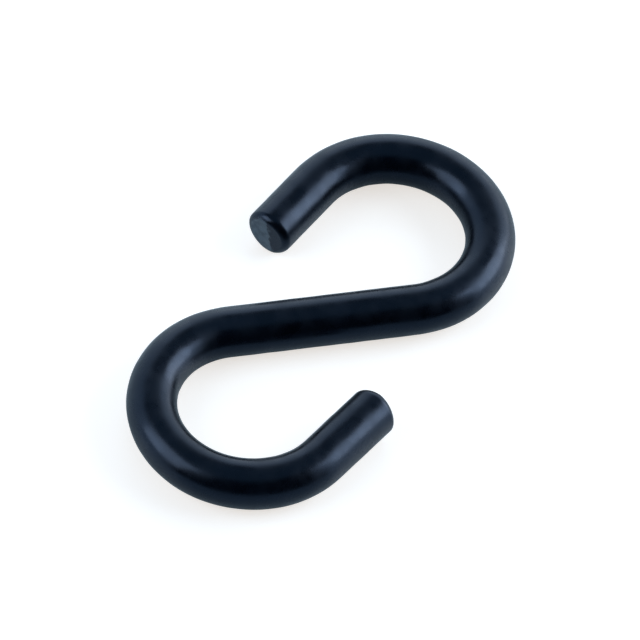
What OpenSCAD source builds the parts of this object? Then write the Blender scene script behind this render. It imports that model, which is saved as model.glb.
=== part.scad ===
// S hook: one length of round rod, bent into two open loops that face opposite ways.
// The hook lies flat on the XY plane. The Y axis is the line of pull, through the centres
// of both loops, with the upper loop at +Y and the middle of the length at the origin.

/* [Rod] */
// Diameter of the rod over its coating
rod_d = 6; // [4:0.1:8]
// Straight length between the two bends
shank_len = 22.3; // [18:0.1:30]

/* [Upper loop] */
// Inside radius of the upper loop
upper_inner_r = 8.5; // [7:0.1:12]
// Angle that the rod turns through in the upper loop
upper_turn = 222; // [200:0.5:235]
// Straight length from the upper bend to its tip
upper_tail = 9.9; // [3:0.1:12]

/* [Lower loop] */
// Inside radius of the lower loop
lower_inner_r = 8.2; // [7:0.1:12]
// Angle that the rod turns through in the lower loop
lower_turn = 219; // [200:0.5:235]
// Straight length from the lower bend to its tip
lower_tail = 10.4; // [3:0.1:12]

/* [Cut ends] */
// Radius of the rounded edge of each cut end
edge_r = 1; // [0.3:0.05:1.2]

/* [Hidden] */

rod_r = rod_d / 2;
coat_color = [0.05, 0.07, 0.09];

// Radii of the rod's centre line in the two bends
upper_r = upper_inner_r + rod_r;
lower_r = lower_inner_r + rod_r;

// The rod is laid out with the shank along X and its middle at the origin. There the line
// of pull leans at this angle to the shank, with this distance between the loop centres.
half_shank = shank_len / 2;
pull_angle = atan2(upper_r + lower_r, shank_len);
loop_pitch = norm([shank_len, upper_r + lower_r]);
// Height of the upper loop's centre that puts the middle of the overall length at Y = 0
upper_y = (loop_pitch + lower_r - upper_r) / 2;

// A tail is thinner than its bend by a hair, so that their surfaces never coincide
hair = 0.001;

// Facets around the rod and around a full ring, when drawn as a mesh
section_fn = 64;
bend_fn = 180;

module hook() {
    color(coat_color)
        translate([0, upper_y, rod_r])
            rotate(90 - pull_angle)
                translate([-half_shank, -upper_r, 0]) {
                    shank();
                    half_hook(upper_r, upper_turn, upper_tail);
                    rotate(180) half_hook(lower_r, lower_turn, lower_tail);
                }
}

// The straight stretch between the two bends
module shank() {
    rotate([0, 90, 0]) cylinder(h = shank_len, r = rod_r, center = true, $fn = section_fn);
}

// One bend and its tail, from the end of the shank at +X. The bend is a ring, less the
// wedge between the end that meets the shank and the end that meets the tail.
module half_hook(bend_r, turn, tail) {
    translate([half_shank, bend_r, 0]) {
        difference() {
            rotate_extrude($fn = bend_fn) translate([bend_r, 0]) circle(r = rod_r, $fn = section_fn);
            intersection() {
                rotate(90) far_side(bend_r);
                rotate(turn - 90) far_side(bend_r);
            }
        }
        rotate(turn - 90) translate([bend_r, 0, 0]) rotate([-90, 0, 0]) tail_rod(tail);
    }
}

// All that lies on the +Y side of a ring's middle
module far_side(bend_r) {
    reach = bend_r + rod_d;
    translate([-reach, 0, -reach]) cube([2 * reach, reach, 2 * reach]);
}

// A straight tail along +Z, up to its flat cut end with a rounded edge
module tail_rod(tail) {
    tail_r = rod_r - hair;
    rotate_extrude($fn = section_fn) {
        square([tail_r, tail - edge_r]);
        square([tail_r - edge_r, tail]);
        translate([tail_r - edge_r, tail - edge_r]) intersection() {
            circle(r = edge_r, $fn = section_fn);
            square(edge_r);
        }
    }
}

hook();
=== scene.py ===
"""Looks of an S hook: one length of round steel rod in a blue-black coat, lying in a soft-lit studio."""

import logging
import math
from dataclasses import dataclass, field
from enum import Enum
import bpy
import numpy as np
from mathutils import Matrix, Vector


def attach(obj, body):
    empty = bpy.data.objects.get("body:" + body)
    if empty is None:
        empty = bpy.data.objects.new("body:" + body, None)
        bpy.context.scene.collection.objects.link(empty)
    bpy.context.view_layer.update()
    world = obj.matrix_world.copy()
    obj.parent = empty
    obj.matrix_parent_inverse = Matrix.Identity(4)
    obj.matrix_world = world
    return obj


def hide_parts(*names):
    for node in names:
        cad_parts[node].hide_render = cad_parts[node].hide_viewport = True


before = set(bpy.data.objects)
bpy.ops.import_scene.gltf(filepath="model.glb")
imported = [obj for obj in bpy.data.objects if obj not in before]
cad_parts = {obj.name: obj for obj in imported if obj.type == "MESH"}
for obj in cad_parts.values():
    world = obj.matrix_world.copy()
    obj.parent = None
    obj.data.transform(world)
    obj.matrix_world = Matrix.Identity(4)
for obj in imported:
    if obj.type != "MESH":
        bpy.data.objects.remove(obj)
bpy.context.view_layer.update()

MM = 0.001
FRAME_PX = 640

log = logging.getLogger("s_hook")

Array = np.ndarray
Colour = tuple[float, float, float]
Span = tuple[float, float]
Socket = bpy.types.NodeSocket

ZERO_TO_ONE: Span = (0.0, 1.0)
ONE_TO_ZERO: Span = (1.0, 0.0)
BLACK: Colour = (0.0, 0.0, 0.0)


class Run(Enum):
    """How a stretch of rod goes."""

    STRAIGHT = "straight"
    LEFT_BEND = "left bend"
    RIGHT_BEND = "right bend"


class Maths(Enum):
    """How two values of a material become one."""

    ADD = "ADD"
    TIMES = "MULTIPLY"
    HIGHER = "MAXIMUM"


@dataclass(frozen=True)
class Stretch:
    """A stretch of the rod's centre line, straight or bent to one radius, in the plane of the hook."""

    run: Run
    length: float
    radius: float = math.inf

    @property
    def curvature(self) -> float:
        """Turn of the heading for each metre of rod, to the left if positive."""
        sign = {Run.STRAIGHT: 0.0, Run.LEFT_BEND: 1.0, Run.RIGHT_BEND: -1.0}[self.run]
        return sign / self.radius

    def go(self, start: Array, heading: float, along: Array) -> tuple[Array, Array]:
        """Follow the stretch.

        Args:
            start: Point where the stretch starts, in the plane.
            heading: Direction there, in radians from +X.
            along: Distances from the start.

        Returns:
            The points at those distances, and the headings there.
        """
        headings = heading + self.curvature * along
        if self.run is Run.STRAIGHT:
            step = np.outer(along, [math.cos(heading), math.sin(heading)])
        else:
            step = np.column_stack(
                [np.sin(headings) - math.sin(heading), math.cos(heading) - np.cos(headings)]
            ) / self.curvature
        return start + step, headings


@dataclass(frozen=True)
class HookPath:
    """The rod's centre line, from the upper tip to the lower tip, in metres."""

    rod_r: float = 3.0 * MM
    shank: float = 22.3 * MM
    upper_inner_r: float = 8.5 * MM
    upper_turn: float = math.radians(222)
    upper_tail: float = 9.9 * MM
    lower_inner_r: float = 8.2 * MM
    lower_turn: float = math.radians(219)
    lower_tail: float = 10.4 * MM

    @property
    def upper_r(self) -> float:
        """Radius of the centre line in the upper loop."""
        return self.upper_inner_r + self.rod_r

    @property
    def lower_r(self) -> float:
        """Radius of the centre line in the lower loop."""
        return self.lower_inner_r + self.rod_r

    @property
    def stretches(self) -> list[Stretch]:
        """The stretches in order, from the upper tip."""
        return [
            Stretch(Run.STRAIGHT, self.upper_tail),
            Stretch(Run.RIGHT_BEND, self.upper_r * self.upper_turn, self.upper_r),
            Stretch(Run.STRAIGHT, self.shank),
            Stretch(Run.LEFT_BEND, self.lower_r * self.lower_turn, self.lower_r),
            Stretch(Run.STRAIGHT, self.lower_tail),
        ]

    @property
    def length(self) -> float:
        """Length of rod in the hook."""
        return sum(s.length for s in self.stretches)

    @property
    def joints(self) -> Array:
        """Distances from the upper tip at which one stretch meets the next."""
        return np.cumsum([s.length for s in self.stretches])[:-1]

    def places(self, along: Array) -> tuple[Array, Array]:
        """Points and headings of the centre line, laid out as the hook lies.

        The line of pull, through both loop centres, is the Y axis, and the middle of the
        overall length is at Y = 0. The shank's lean to the line of pull follows from the
        bends, and gives the place and the heading of the upper tip, where the path starts.

        Args:
            along: Distances from the upper tip, in rising order.

        Returns:
            Points in the plane, one row each, and headings in radians.
        """
        pull = math.hypot(self.shank, self.upper_r + self.lower_r)
        lean = math.atan2(self.upper_r + self.lower_r, self.shank)
        down_the_pull = math.radians(270)
        upper_centre = np.array([0.0, (pull + self.lower_r - self.upper_r) / 2])
        heading = down_the_pull - lean + self.upper_turn
        tail_end = upper_centre + self.upper_r * np.array([-math.sin(heading), math.cos(heading)])
        start = tail_end - self.upper_tail * np.array([math.cos(heading), math.sin(heading)])

        points = np.empty((len(along), 2))
        headings = np.empty(len(along))
        covered = 0.0
        for n, stretch in enumerate(self.stretches):
            last = n == len(self.stretches) - 1
            here = (along >= covered) & ((along < covered + stretch.length) | last)
            points[here], headings[here] = stretch.go(start, heading, along[here] - covered)
            ends, turned = stretch.go(start, heading, np.array([stretch.length]))
            start, heading = ends[0], float(turned[0])
            covered += stretch.length
        return points, headings


@dataclass(frozen=True)
class EndRings:
    """Rings of mesh from the rod's side to near the middle of a cut face.

    Each ring has its distance back from the tip, its radius, and how much it shares in the
    fall of the two faces, in the look of the cut face and in the scuffs and painted highlight of its edge.
    """

    back: Array
    radius: Array
    fall_share: Array
    face_share: Array
    edge_share: Array


@dataclass(frozen=True)
class CutEnd:
    """A cropped end: two faces that fall away from a low ridge, inside a rounded shoulder.

    The falls and the lean are slopes. The ridge is turned from the direction to the inside of
    the loop. The powers say how late on the shoulder the cut face and its scuffed edge with its
    painted highlight set in. Inside the ridge the cut face keeps the dark coat as painted shade.
    """

    edge_r: float = 1.0 * MM
    sweep: float = math.radians(74)
    shoulder_rings: int = 18
    face_rings: int = 34
    ridge_turn: float = math.radians(105)
    ridge_offset: float = 0.50 * MM
    ridge_width: float = 0.25 * MM
    inner_fall: float = 0.04
    outer_fall: float = 0.10
    lean: float = 0.0
    # Share of the cut face's grey kept inside the ridge; the dark coat left there is painted shade.
    shaded_inner_share: float = 0.03
    face_power: int = 12
    edge_power: int = 6
    edge_width: float = 0.35 * MM

    def rings(self, rod_r: float) -> EndRings:
        """Lay out the rings.

        Args:
            rod_r: Radius of the rod.

        Returns:
            The rings, in order from the side.
        """
        turned = np.linspace(0, self.sweep, self.shoulder_rings)
        back = self.edge_r * (1 - np.sin(turned))
        radius = rod_r - self.edge_r * (1 - np.cos(turned))
        flat = radius[-1] * (1 - np.arange(1, self.face_rings) / self.face_rings)
        on_face = np.ones(len(flat))
        near_edge = np.clip(1 - (radius[-1] - flat) / self.edge_width, 0, 1)
        share = np.sin(turned) / math.sin(self.sweep)
        return EndRings(
            back=np.concatenate([back, on_face * back[-1]]),
            radius=np.concatenate([radius, flat]),
            fall_share=np.concatenate([share, on_face]),
            face_share=np.concatenate([share**self.face_power, on_face]),
            edge_share=np.concatenate([share**self.edge_power, near_edge]),
        )

    def fall(self, inward: Array, up: Array, rod_r: float) -> Array:
        """How far the two faces lie behind the end plane.

        Args:
            inward: Distances from the rod's middle towards the inside of the loop.
            up: Heights over the rod's middle.
            rod_r: Radius of the rod.

        Returns:
            Distances back along the rod.
        """
        across = self._across(inward, up)
        roof = np.where(across > 0, self.inner_fall * across, -self.outer_fall * across)
        return roof + self.lean * (rod_r - up)

    def thin_coat_and_painted_shade(self, inward: Array, up: Array) -> Array:
        """How thin the coat is on the cut face, from 1 outside the ridge to little inside it, where the dark
        coat stays as painted shade.
        """
        share = np.clip(0.5 - self._across(inward, up) / (2 * self.ridge_width), 0, 1)
        return self.shaded_inner_share + (1 - self.shaded_inner_share) * share

    def rub_and_highlight(self, inward: Array, up: Array) -> Array:
        """How far the ridge is scuffed and lit by a painted highlight, from 0 away from it to 1 on it."""
        return np.exp(-((self._across(inward, up) / self.ridge_width) ** 2))

    def _across(self, inward: Array, up: Array) -> Array:
        """Distances from the ridge, towards the inside of the loop."""
        return inward * math.sin(self.ridge_turn) - up * math.cos(self.ridge_turn) - self.ridge_offset


@dataclass(frozen=True)
class RodRings:
    """All the rings of the rod: those of the upper end, of its length and of the lower end."""

    upper: EndRings
    body: Array
    lower: EndRings
    rod_r: float
    length: float

    @property
    def along(self) -> Array:
        """Distance of each ring from the upper tip."""
        return np.concatenate([self.upper.back[::-1], self.body, self.length - self.lower.back])

    @property
    def radii(self) -> Array:
        """Radius of each ring."""
        body = np.full(len(self.body), self.rod_r)
        return np.concatenate([self.upper.radius[::-1], body, self.lower.radius])

    def spread(self, upper: Array, lower: Array) -> tuple[Array, Array]:
        """Spread what the ends' rings share in over all the rings, with none of it elsewhere.

        Args:
            upper: Shares of the upper end's rings.
            lower: Shares of the lower end's rings.

        Returns:
            A column for the upper end and one for the lower end, with a row for each ring.
        """
        rows = len(self.body)
        at_upper = np.concatenate([upper[::-1], np.zeros(rows + len(lower))])
        at_lower = np.concatenate([np.zeros(len(upper) + rows), lower])
        return at_upper[:, None], at_lower[:, None]


@dataclass(frozen=True)
class Unevenness:
    """Slow waves in the coat's thickness, the same on every run."""

    height: float = 0.006 * MM
    waves: int = 40
    shortest: float = 2.5 * MM
    longest: float = 14.0 * MM
    most_lobes: int = 4
    seed: int = 11

    def over(self, along: Array, around: Array) -> Array:
        """Height of the coat over the rod's full size, which it never passes.

        Args:
            along: Distances along the rod.
            around: Angles around it, as a row.

        Returns:
            Heights in metres, none over zero, one row for each distance.
        """
        rng = np.random.default_rng(self.seed)
        total = np.zeros((len(along), len(around)))
        for _ in range(self.waves):
            wave = rng.uniform(self.shortest, self.longest)
            lobes = rng.integers(0, self.most_lobes + 1)
            phase = rng.uniform(0, 2 * math.pi)
            total += np.cos(2 * math.pi * along[:, None] / wave + lobes * around[None, :] + phase)
        total *= self.height / math.sqrt(self.waves / 2)
        return total - total.max()


@dataclass(frozen=True)
class Grain:
    """A noise over the coat: the size of one feature, its finer layers, and its height as relief."""

    size: float
    detail: float
    height: float = 0.0


class Nodes:
    """A node tree under construction."""

    def __init__(self, tree: bpy.types.NodeTree) -> None:
        """Start an empty tree.

        Args:
            tree: The material's or the world's own tree.
        """
        self.tree = tree
        tree.nodes.clear()

    def add(self, kind: str, **settings: object) -> bpy.types.Node:
        """Add a node.

        Args:
            kind: The node's type, without its ShaderNode prefix.
            settings: Values of the node's own properties.

        Returns:
            The node.
        """
        node = self.tree.nodes.new("ShaderNode" + kind)
        for name, value in settings.items():
            setattr(node, name, value)
        return node

    def link(self, source: Socket, target: Socket) -> None:
        """Join two sockets."""
        self.tree.links.new(source, target)

    def noise(self, place: Socket, grain: Grain) -> Socket:
        """Noise over the object.

        Args:
            place: Where the texture is looked up, in metres.
            grain: The noise's size and detail.

        Returns:
            The value, from 0 to 1.
        """
        node = self.add("TexNoise")
        node.inputs["Scale"].default_value = 1 / grain.size
        node.inputs["Detail"].default_value = grain.detail
        self.link(place, node.inputs["Vector"])
        return node.outputs["Fac"]

    def span(self, value: Socket, source: Span, target: Span = ZERO_TO_ONE) -> Socket:
        """Move a value from one span to another, smoothly and within its ends.

        Args:
            value: What is moved.
            source: Span that it comes from.
            target: Span that it goes to.

        Returns:
            The moved value.
        """
        node = self.add("MapRange", interpolation_type="SMOOTHSTEP")
        for name, number in zip(("From Min", "From Max", "To Min", "To Max"), (*source, *target)):
            node.inputs[name].default_value = number
        self.link(value, node.inputs["Value"])
        return node.outputs["Result"]

    def combine(self, how: Maths, first: Socket, second: Socket | float) -> Socket:
        """Make one value of two.

        Args:
            how: What is done with them.
            first: The first value.
            second: The second, as a socket or a number.

        Returns:
            The result.
        """
        node = self.add("Math", operation=how.value)
        self.link(first, node.inputs[0])
        if isinstance(second, float):
            node.inputs[1].default_value = second
        else:
            self.link(second, node.inputs[1])
        return node.outputs[0]

    def blend(self, share: Socket, first: Socket | Colour, second: Socket | Colour) -> Socket:
        """Mix two colours.

        Args:
            share: How much of the second there is.
            first: The first colour, as a socket or as numbers.
            second: The second.

        Returns:
            The mixed colour.
        """
        node = self.add("Mix", data_type="RGBA")
        self.link(share, node.inputs["Factor"])
        for socket, colour in ((node.inputs["A"], first), (node.inputs["B"], second)):
            if isinstance(colour, tuple):
                socket.default_value = (*colour, 1.0)
            else:
                self.link(colour, socket)
        return node.outputs["Result"]


@dataclass(frozen=True)
class BlueBlackCoat:
    """Semi-gloss blue-black coat on steel, thin and duller over the cut faces and their edges.

    The gloss goes from smooth to dull, and bare_gain dulls it further where the coat is thin.
    A pattern takes the part of its noise that lies in middle_span, or for scuffed spots in
    rub_and_highlight_span. The patches thin the coat of a cut face unevenly, and its border is shifted.
    The scuffed edges are also a painted highlight, and the cut faces' inner facets keep the dark
    coat as painted shade.
    """

    deep: Colour = (0.0003, 0.0008, 0.0024)
    pale: Colour = (0.0008, 0.0020, 0.0050)
    cut: Colour = (0.078, 0.108, 0.136)
    # Paler colour of the scuffed coat, which also paints the highlight on the cut ends' edges and ridges.
    rubbed_and_highlit: Colour = (0.090, 0.115, 0.135)
    tint: Colour = (0.46, 0.65, 1.0)
    ior: float = 1.44
    smooth: float = 0.23
    dull: float = 0.35
    bare_gain: float = 0.16
    middle_span: Span = (0.3, 0.7)
    rub_and_highlight_span: Span = (0.45, 0.75)
    patch_tones: Span = (0.45, 1.0)
    border_shift: Span = (-0.35, 0.35)
    clouds: Grain = Grain(5.0 * MM, 3.0)
    gloss: Grain = Grain(2.4 * MM, 2.0)
    patches: Grain = Grain(0.9 * MM, 3.0)
    border: Grain = Grain(0.7 * MM, 2.0)
    breaks: Grain = Grain(0.5 * MM, 4.0)
    ripple: Grain = Grain(2.4 * MM, 1.0, 0.009 * MM)
    peel: Grain = Grain(0.8 * MM, 0.0, 0.0008 * MM)
    tear: Grain = Grain(0.28 * MM, 3.0, 0.020 * MM)
    # The edge attribute holds the scuffs with their painted highlight; the face attribute holds the thin
    # coat with the painted shade of the inner facets.
    edge_name: str = "worn_and_highlit_edge"
    face_name: str = "cut_face"

    def material(self) -> bpy.types.Material:
        """Make the coat's material.

        Returns:
            The material.
        """
        made = bpy.data.materials.new("blue_black_coat")
        made.use_nodes = True
        made.diffuse_color = (*self.pale, 1.0)
        nodes = Nodes(made.node_tree)
        place = nodes.add("TexCoord").outputs["Object"]
        cut = self._cut(nodes, place)
        worn_and_highlit = self._worn_and_highlit(nodes, place)
        shader = nodes.add("BsdfPrincipled")
        shader.inputs["IOR"].default_value = self.ior
        shader.inputs["Specular Tint"].default_value = (*self.tint, 1.0)
        nodes.link(self._colour(nodes, place, cut, worn_and_highlit), shader.inputs["Base Color"])
        nodes.link(self._roughness(nodes, place, cut, worn_and_highlit), shader.inputs["Roughness"])
        nodes.link(self._relief(nodes, place, cut), shader.inputs["Normal"])
        output = nodes.add("OutputMaterial")
        nodes.link(shader.outputs["BSDF"], output.inputs["Surface"])
        return made

    def _cut(self, nodes: Nodes, place: Socket) -> Socket:
        """How thin the coat is over a cut face, in patches and with an uneven border, and near full coat on
        its inner facet as painted shade.

        Args:
            nodes: The coat's tree.
            place: Where the textures are looked up.

        Returns:
            The value, from 0 for full coat to 1 for the thinnest.
        """
        face = nodes.add("Attribute", attribute_name=self.face_name).outputs["Fac"]
        patchy = nodes.span(nodes.noise(place, self.patches), self.middle_span, self.patch_tones)
        shift = nodes.span(nodes.noise(place, self.border), self.middle_span, self.border_shift)
        broken = nodes.span(nodes.combine(Maths.ADD, face, shift), self.middle_span)
        return nodes.combine(Maths.TIMES, nodes.combine(Maths.TIMES, broken, patchy), face)

    def _worn_and_highlit(self, nodes: Nodes, place: Socket) -> Socket:
        """How far the coat is scuffed, with its painted edge highlight, from the mesh's edges and a breaking
        noise.

        Args:
            nodes: The coat's tree.
            place: Where the textures are looked up.

        Returns:
            The value, from 0 to 1.
        """
        edges = nodes.add("Attribute", attribute_name=self.edge_name).outputs["Fac"]
        broken = nodes.span(nodes.noise(place, self.breaks), self.rub_and_highlight_span)
        return nodes.combine(Maths.TIMES, edges, broken)

    def _colour(self, nodes: Nodes, place: Socket, cut: Socket, worn_and_highlit: Socket) -> Socket:
        """Cloudy blue-black, greyer over the cut faces except their inner facets, left dark as painted
        shade, and paler where the coat is scuffed and painted with an edge highlight.

        Args:
            nodes: The coat's tree.
            place: Where the textures are looked up.
            cut: How thin the coat is over a cut face, with the painted shade of its inner facet.
            worn_and_highlit: How far it is scuffed, with the painted edge highlight.

        Returns:
            The colour.
        """
        clouds = nodes.span(nodes.noise(place, self.clouds), self.middle_span)
        colour = nodes.blend(clouds, self.deep, self.pale)
        # Paler scuffed edges painted as a highlight; greyer cut faces except inside the ridge, left dark as
        # painted shade.
        return nodes.blend(worn_and_highlit, nodes.blend(cut, colour, self.cut), self.rubbed_and_highlit)

    def _roughness(self, nodes: Nodes, place: Socket, cut: Socket, worn_and_highlit: Socket) -> Socket:
        """Gloss that wanders a little, duller over the cut faces and where the coat is scuffed.

        Args:
            nodes: The coat's tree.
            place: Where the textures are looked up.
            cut: How thin the coat is over a cut face, with the painted shade of its inner facet.
            worn_and_highlit: How far it is scuffed, with the painted edge highlight.

        Returns:
            The roughness.
        """
        sheen = nodes.span(nodes.noise(place, self.gloss), self.middle_span, (self.smooth, self.dull))
        bare_and_painted_light = nodes.combine(Maths.HIGHER, cut, worn_and_highlit)
        return nodes.combine(Maths.ADD, sheen, nodes.combine(Maths.TIMES, bare_and_painted_light, self.bare_gain))

    def _relief(self, nodes: Nodes, place: Socket, cut: Socket) -> Socket:
        """Orange peel over slow ripples, and the torn grain of the cut faces.

        Args:
            nodes: The coat's tree.
            place: Where the textures are looked up.
            cut: How thin the coat is over a cut face.

        Returns:
            The normal that all three layers leave.
        """
        normal = None
        for grain, share in ((self.ripple, None), (self.peel, None), (self.tear, cut)):
            bump = nodes.add("Bump")
            bump.inputs["Distance"].default_value = grain.height
            relief = nodes.noise(place, grain)
            if share is not None:
                relief = nodes.combine(Maths.TIMES, relief, share)
            nodes.link(relief, bump.inputs["Height"])
            if normal is not None:
                nodes.link(normal, bump.inputs["Normal"])
            normal = bump.outputs["Normal"]
        return normal


@dataclass
class CoatedRod:
    """The hook itself: the rod swept along its path, with its cut ends, as one closed mesh."""

    path: HookPath = field(default_factory=HookPath)
    upper_end: CutEnd = field(default_factory=CutEnd)
    lower_end: CutEnd = field(default_factory=lambda: CutEnd(edge_r=1.25 * MM, lean=0.08))
    coat: BlueBlackCoat = field(default_factory=BlueBlackCoat)
    unevenness: Unevenness = field(default_factory=Unevenness)
    sides: int = 120
    ring_gap: float = 0.26 * MM
    flattening: float = 0.006
    ease: float = 2.0 * MM

    def build(self) -> bpy.types.Object:
        """Make the mesh, dress it and hand it to the frame.

        Returns:
            The rod's object.
        """
        mesh = self._mesh()
        mesh.materials.append(self.coat.material())
        rod = bpy.data.objects.new("coated_rod", mesh)
        bpy.context.scene.collection.objects.link(rod)
        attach(rod, "root")
        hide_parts("hook")
        return rod

    def _bent(self, along: Array) -> Array:
        """How far each place is in a bend, eased over the joints.

        Args:
            along: Distances from the upper tip.

        Returns:
            The shares, from 0 in a straight to 1 in a bend.
        """
        joints = self.path.joints
        total = np.zeros(len(along))
        for start, stop in (joints[0:2], joints[2:4]):
            rise = np.clip((along - start) / self.ease + 0.5, 0, 1)
            fall = np.clip((stop - along) / self.ease + 0.5, 0, 1)
            total += rise * rise * (3 - 2 * rise) * fall * fall * (3 - 2 * fall)
        return total

    def _rings(self) -> RodRings:
        """Lay out the rings of the whole rod, evenly between its ends.

        Returns:
            The rings, from the upper tip.
        """
        rod_r, length = self.path.rod_r, self.path.length
        upper, lower = self.upper_end.rings(rod_r), self.lower_end.rings(rod_r)
        steps = round(length / self.ring_gap)
        body = np.linspace(upper.back[0], length - lower.back[0], steps)[1:-1]
        return RodRings(upper, body, lower, rod_r, length)

    def _place(self, along: Array, out: Array, height: Array, shift: Array) -> Array:
        """Lay points out round the centre line.

        Args:
            along: Distance of each ring from the upper tip.
            out: Distances of its points to the left of the centre line.
            height: Their heights over it.
            shift: Their distances ahead of the ring.

        Returns:
            The points, one row each.
        """
        centres, headings = self.path.places(along)
        ahead = np.column_stack([np.cos(headings), np.sin(headings)])
        left = np.column_stack([-np.sin(headings), np.cos(headings)])
        plan = centres[:, None] + out[:, :, None] * left[:, None] + shift[:, :, None] * ahead[:, None]
        return np.concatenate([plan, height[:, :, None] + self.path.rod_r], axis=2).reshape(-1, 3)

    def _marks_and_painted_light(self, rings: RodRings, out: Array, height: Array) -> dict[str, Array]:
        """How thin and how scuffed the coat is at each point of the rings, with the painted shade of the cut
        faces' inner facets and the painted highlight of their edges.

        Args:
            rings: The rod's rings.
            out: Distances of their points to the left of the centre line.
            height: Their heights over it.

        Returns:
            The values by the name of their attribute, one row for each ring.
        """
        upper_face, lower_face = rings.spread(rings.upper.face_share, rings.lower.face_share)
        upper_edge, lower_edge = rings.spread(rings.upper.edge_share, rings.lower.edge_share)
        # Inside the ridge the cut faces keep the dark coat as painted shade; their outer edges and the
        # ridges carry a painted highlight with the scuffs.
        upper_thin_and_shaded = self.upper_end.thin_coat_and_painted_shade(-out, height)
        lower_thin_and_shaded = self.lower_end.thin_coat_and_painted_shade(out, height)
        bare_and_painted_light = upper_face * upper_thin_and_shaded + lower_face * lower_thin_and_shaded
        edges = upper_edge * upper_thin_and_shaded + lower_edge * lower_thin_and_shaded
        ridges = upper_face * self.upper_end.rub_and_highlight(-out, height) + lower_face * self.lower_end.rub_and_highlight(out, height)
        return {self.coat.face_name: bare_and_painted_light, self.coat.edge_name: np.maximum(edges, ridges)}

    def _mesh(self) -> bpy.types.Mesh:
        """Make the closed mesh, smooth-shaded, with its scuffs, cut faces, painted shade and painted
        highlight as attributes.

        Returns:
            The mesh.
        """
        rings, rod_r = self._rings(), self.path.rod_r
        along, radii = rings.along, rings.radii
        around = np.linspace(0, 2 * math.pi, self.sides, endpoint=False)
        radius = radii[:, None] + (radii / rod_r)[:, None] * self.unevenness.over(along, around)
        out = radius * (1 - self.flattening * self._bent(along))[:, None] * np.cos(around)
        height = radius * np.sin(around)
        upper_fall, lower_fall = rings.spread(rings.upper.fall_share, rings.lower.fall_share)
        shift = upper_fall * self.upper_end.fall(-out, height, rod_r)
        shift -= lower_fall * self.lower_end.fall(out, height, rod_r)

        middle = np.zeros((1, 1))
        first = self._place(along[:1], middle, middle, self.upper_end.fall(middle, middle, rod_r))
        last = self._place(along[-1:], middle, middle, -self.lower_end.fall(middle, middle, rod_r))
        points = np.vstack([first, self._place(along, out, height, shift), last])
        mesh = bpy.data.meshes.new("coated_rod")
        mesh.from_pydata(points.tolist(), [], self._faces(len(along)))
        mesh.update()

        for name, marks in self._marks_and_painted_light(rings, out, height).items():
            values = np.concatenate([marks[0, :1], marks.ravel(), marks[-1, :1]]).astype(np.float32)
            mesh.attributes.new(name, "FLOAT", "POINT").data.foreach_set("value", values)
        mesh.polygons.foreach_set("use_smooth", [True] * len(mesh.polygons))
        return mesh

    def _faces(self, rings: int) -> list[list[int]]:
        """Join the rings into quads, and the end rings to their middles.

        Args:
            rings: How many rings there are.

        Returns:
            The faces, as lists of point numbers.
        """
        ring = np.arange(self.sides)
        after = np.roll(ring, -1)
        here = 1 + self.sides * np.arange(rings - 1)[:, None]
        there = here + self.sides
        quads = np.stack([here + ring, here + after, there + after, there + ring], axis=2)
        last = 1 + self.sides * (rings - 1)
        lower_middle = last + self.sides
        fans = [[0, int(1 + b), int(1 + a)] for a, b in zip(ring, after)]
        fans += [[lower_middle, int(last + a), int(last + b)] for a, b in zip(ring, after)]
        return quads.reshape(-1, 4).tolist() + fans


@dataclass(frozen=True)
class StudioFloor:
    """A wide, pale satin table under the hook.

    The lifts are light that only the camera and mirroring surfaces get from it, so that it
    looks white where it is fully lit and keeps its shadows.
    """

    radius: float = 6.0
    corners: int = 64
    colour: Colour = (0.42, 0.50, 0.57)
    roughness: float = 0.38
    ior: float = 2.0
    seen_lift: float = 0.73
    seen_tone: Colour = (1.0, 0.95, 0.90)
    mirrored_lift: float = 0.14
    mirrored_tone: Colour = (0.62, 0.86, 1.0)

    def build(self) -> bpy.types.Object:
        """Make the floor.

        Returns:
            The floor's object.
        """
        angles = np.linspace(0, 2 * math.pi, self.corners, endpoint=False)
        rim = [(math.cos(a) * self.radius, math.sin(a) * self.radius, 0.0) for a in angles]
        mesh = bpy.data.meshes.new("studio_floor")
        mesh.from_pydata(rim, [], [list(range(self.corners))])
        mesh.materials.append(self.material())
        floor = bpy.data.objects.new("studio_floor", mesh)
        bpy.context.scene.collection.objects.link(floor)
        return floor

    def material(self) -> bpy.types.Material:
        """Make the table's satin paint, with its lifts.

        Returns:
            The material.
        """
        made = bpy.data.materials.new("white_table")
        made.use_nodes = True
        nodes = Nodes(made.node_tree)
        rays = nodes.add("LightPath").outputs
        seen = nodes.combine(Maths.TIMES, rays["Is Camera Ray"], self.seen_lift)
        mirrored = nodes.combine(Maths.TIMES, rays["Is Glossy Ray"], self.mirrored_lift)
        paint = nodes.add("BsdfPrincipled")
        paint.inputs["Base Color"].default_value = (*self.colour, 1.0)
        paint.inputs["Roughness"].default_value = self.roughness
        paint.inputs["IOR"].default_value = self.ior
        lift_tone = nodes.blend(rays["Is Camera Ray"], self.mirrored_tone, self.seen_tone)
        nodes.link(lift_tone, paint.inputs["Emission Color"])
        nodes.link(nodes.combine(Maths.ADD, seen, mirrored), paint.inputs["Emission Strength"])
        output = nodes.add("OutputMaterial")
        nodes.link(paint.outputs["BSDF"], output.inputs["Surface"])
        return made


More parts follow.
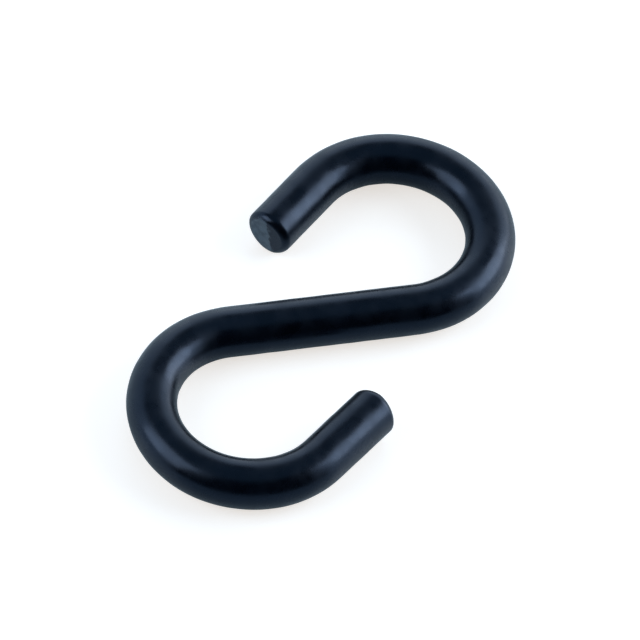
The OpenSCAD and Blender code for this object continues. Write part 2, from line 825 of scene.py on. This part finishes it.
@dataclass(frozen=True)
class Softbox:
    """A rectangular soft light that faces the hook, in metres and degrees."""

    name: str
    azimuth: float
    elevation: float
    width: float
    height: float
    radiance: float
    distance: float = 0.6

    def build(self) -> bpy.types.Object:
        """Make the light.

        Returns:
            The light's object.
        """
        light = bpy.data.lights.new(self.name, "AREA")
        light.shape = "RECTANGLE"
        light.size = self.width
        light.size_y = self.height
        light.energy = self.radiance * self.width * self.height * math.pi
        box = bpy.data.objects.new(self.name, light)
        bpy.context.scene.collection.objects.link(box)
        away = outward(self.azimuth, self.elevation)
        box.location = away * self.distance
        box.rotation_euler = away.to_track_quat("Z", "Y").to_euler()
        box.visible_camera = False
        return box


@dataclass(frozen=True)
class Wall:
    """A wall of the room, as a glow that fades out at its sides and its top.

    It is full within one angle of its azimuth and gone at another, all in degrees, and its
    top fades over a span of the direction's upward share.
    """

    azimuth: float
    gone: float
    full: float
    top: Span
    colour: Colour


@dataclass(frozen=True)
class StudioRoom:
    """What is round the table: a dim ceiling, pale walls and a dark flag at the front right.

    The low strip is the brighter foot of the back wall.
    """

    left_wall: Wall = Wall(azimuth=-92.0, gone=66.0, full=40.0, top=(0.52, 0.78), colour=(0.64, 0.82, 1.00))
    back_wall: Wall = Wall(azimuth=164.0, gone=82.0, full=56.0, top=(0.52, 0.78), colour=(1.28, 1.48, 1.66))
    low_strip: Wall = Wall(azimuth=155.0, gone=42.0, full=12.0, top=(0.12, 0.30), colour=(2.00, 2.20, 2.40))
    dark_flag: Wall = Wall(azimuth=50.0, gone=54.0, full=46.0, top=(0.80, 0.95), colour=BLACK)
    ceiling: Colour = (0.17, 0.27, 0.34)
    ceiling_span: Span = (0.60, 0.95)

    def build(self) -> bpy.types.World:
        """Make the world, each wall laid over those before it.

        Returns:
            The world.
        """
        world = bpy.data.worlds.new("studio_room")
        bpy.context.scene.world = world
        world.use_nodes = True
        nodes = Nodes(world.node_tree)
        way = nodes.add("SeparateXYZ")
        nodes.link(nodes.add("TexCoord").outputs["Generated"], way.inputs[0])
        flat = nodes.add("CombineXYZ")
        nodes.link(way.outputs["X"], flat.inputs["X"])
        nodes.link(way.outputs["Y"], flat.inputs["Y"])
        level_way = nodes.add("VectorMath", operation="NORMALIZE")
        nodes.link(flat.outputs[0], level_way.inputs[0])

        overhead = nodes.span(way.outputs["Z"], self.ceiling_span)
        shine = nodes.blend(overhead, BLACK, self.ceiling)
        for wall in (self.left_wall, self.back_wall, self.low_strip, self.dark_flag):
            facing = nodes.add("VectorMath", operation="DOT_PRODUCT")
            nodes.link(level_way.outputs["Vector"], facing.inputs[0])
            facing.inputs[1].default_value = outward(wall.azimuth, 0.0)
            sides = (math.cos(math.radians(wall.gone)), math.cos(math.radians(wall.full)))
            within = nodes.span(facing.outputs["Value"], sides)
            below = nodes.span(way.outputs["Z"], wall.top, ONE_TO_ZERO)
            shine = nodes.blend(nodes.combine(Maths.TIMES, within, below), shine, wall.colour)
        back = nodes.add("Background")
        nodes.link(shine, back.inputs["Color"])
        output = nodes.add("OutputWorld")
        nodes.link(back.outputs["Background"], output.inputs["Surface"])
        return world


@dataclass(frozen=True)
class ProductCamera:
    """A long lens that looks down on the hook from the right."""

    azimuth: float = 26.6
    elevation: float = 51.3
    roll: float = 7.3
    distance: float = 0.96
    focal_px: float = 8214.0
    middle_px: tuple[float, float] = (321.7, 320.8)
    aim: tuple[float, float, float] = (0.105 * MM, -0.257 * MM, 3.0 * MM)
    sensor: float = 36.0
    nearest: float = 0.01
    farthest: float = 50.0

    def build(self) -> bpy.types.Object:
        """Make the camera and give it to the scene.

        Returns:
            The camera's object.
        """
        away = outward(self.azimuth, self.elevation)
        level = Vector((0, 0, 1)).cross(away).normalized()
        upright = away.cross(level)
        turn = Matrix.Rotation(math.radians(self.roll), 3, away)
        right, up = turn @ level, turn @ upright
        px = self.distance / self.focal_px
        half = FRAME_PX / 2
        slip = right * (half - self.middle_px[0]) * px + up * (self.middle_px[1] - half) * px
        lens = bpy.data.cameras.new("product_camera")
        lens.sensor_width = self.sensor
        lens.lens = self.focal_px / FRAME_PX * self.sensor
        lens.clip_start = self.nearest
        lens.clip_end = self.farthest
        camera = bpy.data.objects.new("product_camera", lens)
        bpy.context.scene.collection.objects.link(camera)
        place = Matrix.Translation(Vector(self.aim) + away * self.distance + slip)
        camera.matrix_world = place @ Matrix((right, up, away)).transposed().to_4x4()
        bpy.context.scene.camera = camera
        return camera


@dataclass
class Studio:
    """The table, the lights, the room and the camera."""

    floor: StudioFloor = field(default_factory=StudioFloor)
    room: StudioRoom = field(default_factory=StudioRoom)
    camera: ProductCamera = field(default_factory=ProductCamera)
    softboxes: tuple[Softbox, ...] = (
        Softbox("right_softbox", azimuth=133.5, elevation=31.0, width=0.45, height=0.40, radiance=4.4),
        Softbox("left_softbox", azimuth=-44.5, elevation=35.5, width=0.44, height=0.45, radiance=2.9),
    )

    def build(self) -> None:
        """Make the stage and light it."""
        for piece in (self.camera, self.floor, self.room, *self.softboxes):
            made = piece.build()
            log.info("stage: %s", made.name)
        bpy.context.scene.view_settings.view_transform = "Standard"


def outward(azimuth: float, elevation: float) -> Vector:
    """Direction from the hook, with azimuth 0 at -Y and 90 at +X.

    Args:
        azimuth: Angle round the hook, in degrees.
        elevation: Angle above the table, in degrees.

    Returns:
        The unit vector.
    """
    turn, rise = math.radians(azimuth), math.radians(elevation)
    return Vector((math.cos(rise) * math.sin(turn), -math.cos(rise) * math.cos(turn), math.sin(rise)))


def main() -> None:
    """Build the studio and the hook."""
    logging.basicConfig(level=logging.INFO, format="%(name)s: %(message)s")
    Studio().build()
    rod = CoatedRod().build()
    log.info("piece: %s, %d faces", rod.name, len(rod.data.polygons))


if __name__ == "__main__":
    main()
